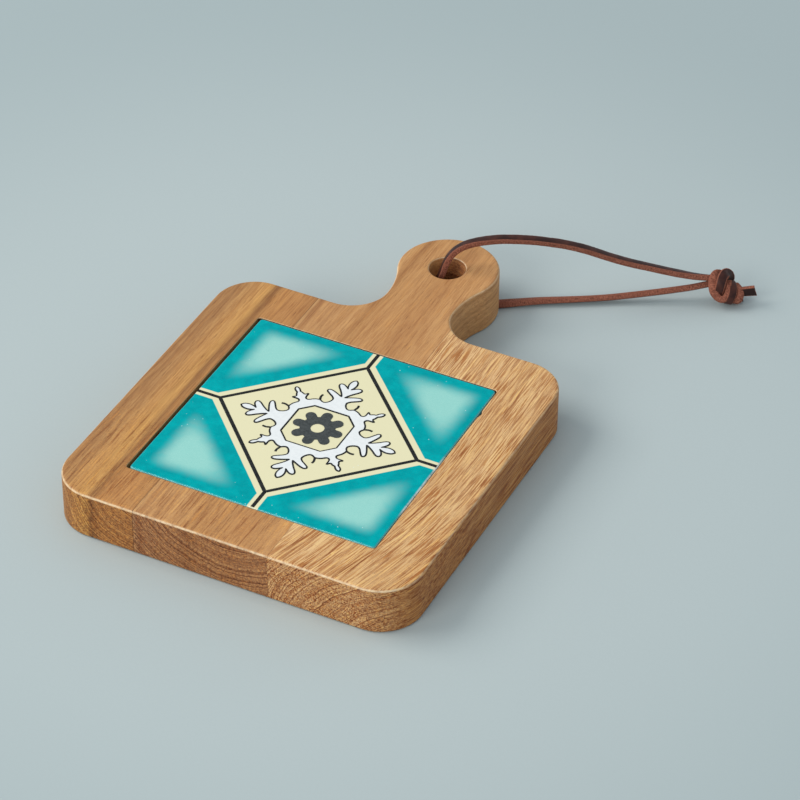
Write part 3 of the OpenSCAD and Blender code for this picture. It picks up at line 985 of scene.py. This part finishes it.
def add_tile():
    black = plain_glaze("black_glaze", tint(62, 66, 66), tint(82, 86, 86), gloss=0.1)
    line_black = plain_glaze("line_glaze", tint(32, 33, 33), tint(50, 52, 52), gloss=0.1)
    white = plain_glaze("white_glaze", tint(228, 231, 231), tint(238, 240, 239))
    tree = line_tree()
    frost = eightfold(flat_curve(FROST_EDGE))
    inner_edge = octagon()
    petals = round_figure(240, petal_reach)
    eye = round_figure(48, lambda angle: FLOWER_EYE)
    lozenge, spokes = lozenge_lines()
    pieces = [
        new_piece("tile_body", tile_bmesh(), tile_body_finish(), crease=TILE_CREASE),
        glaze_pool("tile_frost", [frost, inner_edge], RELIEF, white),
        glaze_pool("tile_flower", [petals, eye], HIGH_RELIEF, black, edge=FLOWER_EDGE),
        glaze_lines(
            "tile_frost_line", tree, [frost, inner_edge], frost_curls(), LINE_W, line_black),
        glaze_lines("tile_lozenge_line", tree, [lozenge], spokes, LOZENGE_LINE_W, line_black),
    ]
    for piece in pieces:
        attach(piece, "root")
        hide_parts("tile")


def dress_adhesive():
    paint = Finish("adhesive")
    place = paint.object_mm()
    tone = paint.mix(paint.noise(place, 0.4, 3.0), tint(222, 216, 204), tint(200, 192, 176))
    relief = paint.bump(paint.noise(place, 1.2, 2.0), 0.4, 0.2)
    dabs = paint.set(color=tone, roughness=0.6, normal=relief)
    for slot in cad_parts["tile_adhesive"].material_slots:
        slot.material = dabs


# Lace

ROUTE_PARTS = 6
SECTION_PARTS = 3
CRISP_R = 0.5
SOFT_R = 0.7
GRAIN_BULGE = 0.12
LACE_CREASE = 75
UV_PITCH = 10

# Places in the lace's upright plane: from the hole, sideways to the left, height, roll
UPPER_ROUTE = [
    (-4, 0, 9, 0), (-4, 0, 10.5, 0), (-3.5, 0, 13, 0), (-2.8, 0, 15.7, 0), (-1.9, 0, 18.4, 0),
    (-0.7, 0, 22.2, 4), (0.9, 0, 25.4, 6), (3.2, 0, 28.2, 7), (6.1, 0, 30.1, 6), (9, 0, 31.2, 3),
    (12.4, 0, 31.9, 0), (16, 0, 32.3, -3), (20.8, 0, 32.5, -5), (25.6, 0, 32.2, -7),
    (30.4, 0, 31.7, -9), (35.2, 0, 31, -9), (40, 0, 30, -9), (44.9, 0, 28.9, -9),
    (49.7, -0.2, 27.6, -8), (54.6, -0.4, 26, -6), (59.5, -0.6, 24, -4), (64.4, -0.8, 21.9, -2),
    (69.3, -1, 20, 0), (74.2, -1.2, 18.3, 3), (79.2, -1.4, 16.8, 6), (84, -1.7, 15.4, 8),
    (89, -1.9, 13.9, 9), (94, -2.2, 12.6, 12), (99, -2.5, 11.4, 22), (104, -2.5, 10.4, 34),
]
LOWER_ROUTE = [
    (-4, 0, 9, 0), (-4, 0, 8, 0), (-3.6, 0, 6.1, 0), (-2.3, 0, 3.9, 0), (-0.4, 0, 2.3, 0),
    (1.4, 0, 1.6, 0), (3.4, 0, 1.3, 0), (8, -0.2, 1.3, 0), (14.5, -0.6, 1.3, 0),
    (21, -0.8, 1.5, 6), (28, -0.8, 1.7, 16), (37, -0.7, 1.9, 24), (46, -1, 2, 31),
    (56, -1.3, 2.1, 36), (65.5, -1.4, 2.3, 36), (75.5, -1.6, 3.1, 36), (85, -1.9, 4.1, 36),
    (93, -2.3, 5.2, 36), (98.5, -2.5, 6, 36), (104, -2.5, 7, 36),
]

# The knot's bands that lie with a flat side to the front: points and width share, and the side
# that faces the front, 1 for the grain
FRONT_BANDS = {
    "suede_hook": ([
        (111.4, 1.0, 8.4, 1.0), (110.2, 0.2, 9.8, 1.0), (108.4, -1.4, 11.0, 1.0),
        (107.0, -3.6, 10.8, 1.05), (106.4, -5.8, 9.1, 1.04), (106.7, -7.8, 6.8, 0.95),
        (108.3, -9.2, 4.9, 0.82), (110.4, -9.8, 4.6, 0.76), (112.0, -8.8, 6.5, 0.74),
        (112.6, -7.0, 8.8, 0.74), (112.9, -4.6, 9.2, 0.8)], -1),
    "grain_wrap": ([
        (114.0, 0.8, 5.5, 0.9), (114.5, 0.0, 7.7, 0.95), (113.6, -1.4, 10.6, 1.05),
        (111.7, -3.4, 12.6, 1.1), (110.2, -5.6, 12.3, 1.12), (109.2, -7.4, 10.2, 1.1),
        (108.6, -7.5, 6.4, 1.0), (108.7, -6.4, 3.6, 0.85), (109.4, -4.8, 2.6, 0.8)], 1),
    "long_tail": ([
        (114.5, -6.0, 5.2, 1.0), (116.6, -6.4, 5.5, 1.02), (118.8, -7.0, 5.9, 1.06),
        (121.4, -7.4, 6.3, 1.12), (123.4, -7.6, 6.5, 1.15)], 1),
    "short_tail": ([
        (113.5, -5.6, 3.6, 0.9), (116.5, -5.9, 2.8, 0.9), (119.0, -6.2, 2.3, 0.9)], 1),
}

# Which way their flat sides face, how thin they are pressed and how far the tails are cut aslant
FRONT = Vector((-0.1, -0.78, 0.62)).normalized()
TAIL_FRONT = Vector((-0.1, -0.97, 0.1)).normalized()
FRONT_THIN = 0.85
TAIL_SLANT = -0.3

# Its closed turns, with the side that faces outwards and a width share
TURNS = [
    ([(113.9, -4.4, 8.6), (114.2, -7.2, 8.4), (113.6, -9.5, 6.4), (112.6, -9.8, 3.8),
      (112.4, -7.4, 1.7), (112.8, -4.6, 1.6), (113.3, -2.7, 3.2), (113.7, -2.6, 6.0)], 1, 0.98),
    ([(115.9, -4.4, 7.2), (117.0, -7.1, 6.8), (117.0, -9.1, 5.4), (116.1, -9.6, 3.5),
      (115.3, -7.6, 1.7), (115.4, -4.9, 1.7), (115.7, -3.3, 3.3), (115.8, -3.2, 5.6)], -1, 0.92),
]
TURN_THIN = 0.8

# A core that stands for the lace packed inside the knot
KNOT_CORE = [
    (107.2, -3.6, 8.6, 0), (110.0, -4.6, 7.6, 0), (113.2, -5.3, 6.0, 0), (116.0, -6.0, 4.6, 0),
]
KNOT_CORE_W = 5.6
KNOT_CORE_T = 5.0


def lace_frame():
    """The lace's upright plane, turned and placed at the hole."""
    return (Matrix.Translation(Vector((HOLE_X, HEAD_Y, 0)) * MM)
            @ Matrix.Rotation(math.radians(LACE_TURN), 4, "Z"))


def lace_section(width, thickness):
    """Points round the flat lace: across, upwards, and whether they lie on its grain face."""
    points = []
    corners = [(1, -1, SOFT_R), (1, 1, CRISP_R), (-1, 1, CRISP_R), (-1, -1, SOFT_R)]
    for index, (sx, sz, bend) in enumerate(corners):
        for k in range(SECTION_PARTS + 1):
            a = math.radians(-90 + 90 * index + 90 * k / SECTION_PARTS)
            on_grain = (index, k) in ((1, SECTION_PARTS), (2, 0))
            points.append((sx * (width / 2 - bend) + bend * math.cos(a),
                           sz * (thickness / 2 - bend) + bend * math.sin(a), float(on_grain)))
        if index == 1:
            for share in (0.3, 0.0, -0.3):
                bulge = GRAIN_BULGE * (1 - 4 * share * share)
                points.append((width * share, thickness / 2 + bulge, 1.0))
    return points


def sweep(bm, stations, layers, closed=False, slant=0.0):
    """Sweeps the lace along stations of (place, side, up, width, thickness, flip)."""
    grain_layer, uv_layer = layers
    rings = []
    lengths = []
    travelled = 0.0
    for index, (place, side, up, width, thickness, flip) in enumerate(stations):
        before = stations[index - 1][0]
        if index:
            travelled += (place - before).length
        lengths.append(travelled)
        fray = 1 + 0.04 * noise.noise(place * 0.35) + 0.03 * noise.noise(place * 1.3)
        cut = Vector((0, 0, 0))
        if index == len(stations) - 1:
            cut = (place - before).normalized() * slant
        ring = []
        for a, b, grain in lace_section(width * fray, thickness):
            vert = bm.verts.new((place + side * a * flip + up * b * flip + cut * a) * MM)
            vert[grain_layer] = grain
            ring.append(vert)
        rings.append(ring)
    count = len(rings[0])
    steps = len(rings) if closed else len(rings) - 1
    for low in range(steps):
        high = (low + 1) % len(rings)
        for i in range(count):
            j = (i + 1) % count
            face = bm.faces.new((rings[low][i], rings[low][j], rings[high][j], rings[high][i]))
            shares = (i / count, (i + 1) / count, (i + 1) / count, i / count)
            ways = (lengths[low], lengths[low], lengths[high], lengths[high])
            for loop, share, way in zip(face.loops, shares, ways):
                loop[uv_layer].uv = (share, way / UV_PITCH)
    if not closed:
        for ring in (rings[0], rings[-1]):
            bm.faces.new(ring)


def heading(places, i):
    """Which way an open run of places goes at one of them."""
    onward = places[min(i + 1, len(places) - 1)].to_3d()
    return (onward - places[max(i - 1, 0)].to_3d()).normalized()


def route_stations(route, flip, width=LACE_W, thickness=LACE_T):
    """Stations of a free stretch, level but for the roll given along its route."""
    places = smooth_through(route, parts=ROUTE_PARTS)
    stations = []
    for i, point in enumerate(places):
        way = heading(places, i)
        side = (Vector((0, 1, 0)) - way * way.y).normalized()
        up = way.cross(side)
        roll = math.radians(point[3])
        turned_side = side * math.cos(roll) - up * math.sin(roll)
        turned_up = up * math.cos(roll) + side * math.sin(roll)
        stations.append((point.to_3d(), turned_side, turned_up, width, thickness, flip))
    return stations


def front_stations(points, grain_side, front):
    """Stations of a band that keeps one flat side to the front."""
    places = smooth_through(points, parts=ROUTE_PARTS)
    stations = []
    for i, point in enumerate(places):
        way = heading(places, i)
        up = (front - way * way.dot(front)).normalized()
        width = LACE_W * point[3]
        stations.append(
            (point.to_3d(), up.cross(way), up, width, LACE_T * FRONT_THIN, grain_side))
    return stations


def wrap_stations(points, grain_side, width):
    """Stations of a closed turn that keeps one flat side outwards."""
    places = smooth_through(points, parts=ROUTE_PARTS, closed=True)
    middle = sum(places, Vector((0, 0, 0))) / len(places)
    stations = []
    for i, place in enumerate(places):
        way = (places[(i + 1) % len(places)] - places[i - 1]).normalized()
        out = place - middle
        up = (out - way * out.dot(way)).normalized()
        stations.append(
            (place, up.cross(way), up, LACE_W * width, LACE_T * TURN_THIN, grain_side))
    return stations


def lace_bmesh():
    bm = bmesh.new()
    return bm, (bm.verts.layers.float.new("grain"), bm.loops.layers.uv.new("lace"))


def lace_piece(name, bm, material):
    bm.transform(lace_frame())
    return new_piece(name, bm, material, crease=LACE_CREASE)


def leather_finish():
    """Leather: a waxed dark grain face, and reddish suede on the cut sides and the flesh side."""
    paint = Finish("lace_leather")
    place = paint.object_mm()
    grain = paint.node("Attribute", {"attribute_name": "grain"}, output="Fac").step(0.25, 0.75)
    along = paint.node("UVMap", {"uv_map": "lace"})
    u, v, _ = paint.split(along)
    nap = paint.noise_at(u * 26.0, v * 18.0, 0.0, 4.0, 0.75)
    cloud = paint.noise(place, 0.25, 3.0)
    crease = paint.noise_at(u * 10.0, v * 26.0, 0.0, 3.0, 0.6)
    dark = paint.mix(cloud.step(0.35, 0.7), tint(48, 22, 17), tint(74, 38, 29))

    # Painted shade: the grain face is darkened nearly to black towards the ends of the tails
    tail_shade = paint.split(place)[0].step(102.4, 103.6)
    dark = paint.mix(tail_shade * 0.75, dark, tint(20, 8, 7))

    suede = paint.mix(nap.step(0.36, 0.66), tint(102, 56, 44), tint(178, 112, 88))
    suede = paint.mix(cloud.step(0.4, 0.75) * 0.45, suede, tint(126, 74, 56))
    colour = paint.mix(grain, suede, dark)
    rough = paint.node(
        "Mix", {"data_type": "FLOAT"}, {0: grain, 2: nap * 0.1 + 0.85, 3: crease * 0.16 + 0.36}, 0)
    relief = nap * (1.0 - grain) * 1.4 + crease * grain * 0.5
    normal = paint.bump(relief, 0.7, 0.2)
    return paint.set(color=colour, roughness=rough, normal=normal, specular=0.26)


def add_lace():
    leather = leather_finish()
    turn = lace_frame()
    legs = (("lace_upper_leg", UPPER_ROUTE, 1), ("lace_lower_leg", LOWER_ROUTE, -1))
    for name, route, flip in legs:
        bm, layers = lace_bmesh()
        sweep(bm, route_stations(route, flip), layers)
        piece = lace_piece(name + "_leather", bm, leather)
        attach(piece, "root")
        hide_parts(name)
        path = [turn @ (point.to_3d() * MM) for point in smooth_through(route, parts=4)]
        length = sum((b - a).length for a, b in zip(path, path[1:]))

    bm, layers = lace_bmesh()
    for points, grain_side, width in TURNS:
        sweep(bm, wrap_stations(points, grain_side, width), layers, closed=True)
    for name, (points, grain_side) in FRONT_BANDS.items():
        tail = name.endswith("tail")
        sweep(bm, front_stations(points, grain_side, TAIL_FRONT if tail else FRONT), layers,
              slant=TAIL_SLANT if tail else 0.0)
    sweep(bm, route_stations(KNOT_CORE, -1, width=KNOT_CORE_W, thickness=KNOT_CORE_T), layers)
    for _, route, flip in legs:
        last, before = Vector(route[-1]), Vector(route[-2])
        onward = [last, last + (last - before) * 0.5, last + (last - before)]
        sweep(bm, route_stations([tuple(p) for p in onward], flip), layers)
    knot = lace_piece("lace_knot_leather", bm, leather)
    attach(knot, "root")
    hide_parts("lace_knot")


# Room

FLOOR_HALF = 3.0
SKY_COLOUR = (0.80, 0.88, 0.95, 1.0)
SKY_STRENGTH = 0.62

# Name, place, size, power and colour of each lamp. All of them are aimed at the origin
LIGHTS = [
    ("window", (-2.6, -0.6, 2.4), (2.4, 2.0), 76.0, (1.0, 0.97, 0.93)),
    ("fill", (-0.6, -2.6, 1.4), (1.6, 1.0), 30.0, (1.0, 0.98, 0.95)),
    ("rim", (1.3, 2.2, 0.8), (1.0, 0.3), 3.0, (0.95, 0.98, 1.0)),
]


def add_floor():
    paint = Finish("floor_paper")
    place = paint.object_mm()
    tone = paint.noise(place, 0.9, 3.0, 0.7)
    colour = paint.mix(tone, tint(179, 190, 190), tint(184, 195, 195))
    x, y, _ = paint.split(place)
    # Painted light falloff: the floor darkens away from the middle
    far = (x * x + y * y).math("SQRT").step(130.0, 330.0)
    colour = paint.mix(far, colour, tint(168, 181, 182))
    normal = paint.bump(tone, 0.08, 0.1)
    material = paint.set(color=colour, roughness=0.85, normal=normal, specular=0.2)
    bm = bmesh.new()
    bmesh.ops.create_grid(bm, x_segments=1, y_segments=1, size=FLOOR_HALF)
    floor = new_piece("floor", bm, material)


def add_light(name, place, size, power, colour):
    data = bpy.data.lights.new(name, "AREA")
    data.shape = "RECTANGLE"
    data.size, data.size_y = size
    data.energy = power
    data.color = colour
    light = bpy.data.objects.new(name, data)
    place = Vector(place)
    turn = (-place).to_track_quat("-Z", "Y").to_matrix().to_4x4()
    light.matrix_world = Matrix.Translation(place) @ turn
    bpy.context.collection.objects.link(light)


def add_lights():
    world = bpy.data.worlds.new("studio")
    bpy.context.scene.world = world
    world.use_nodes = True
    sky = world.node_tree.nodes["Background"]
    sky.inputs["Color"].default_value = SKY_COLOUR
    sky.inputs["Strength"].default_value = SKY_STRENGTH
    for light in LIGHTS:
        add_light(*light)


add_camera()
add_lace()
add_board()
add_tile()
dress_adhesive()
add_floor()
add_lights()
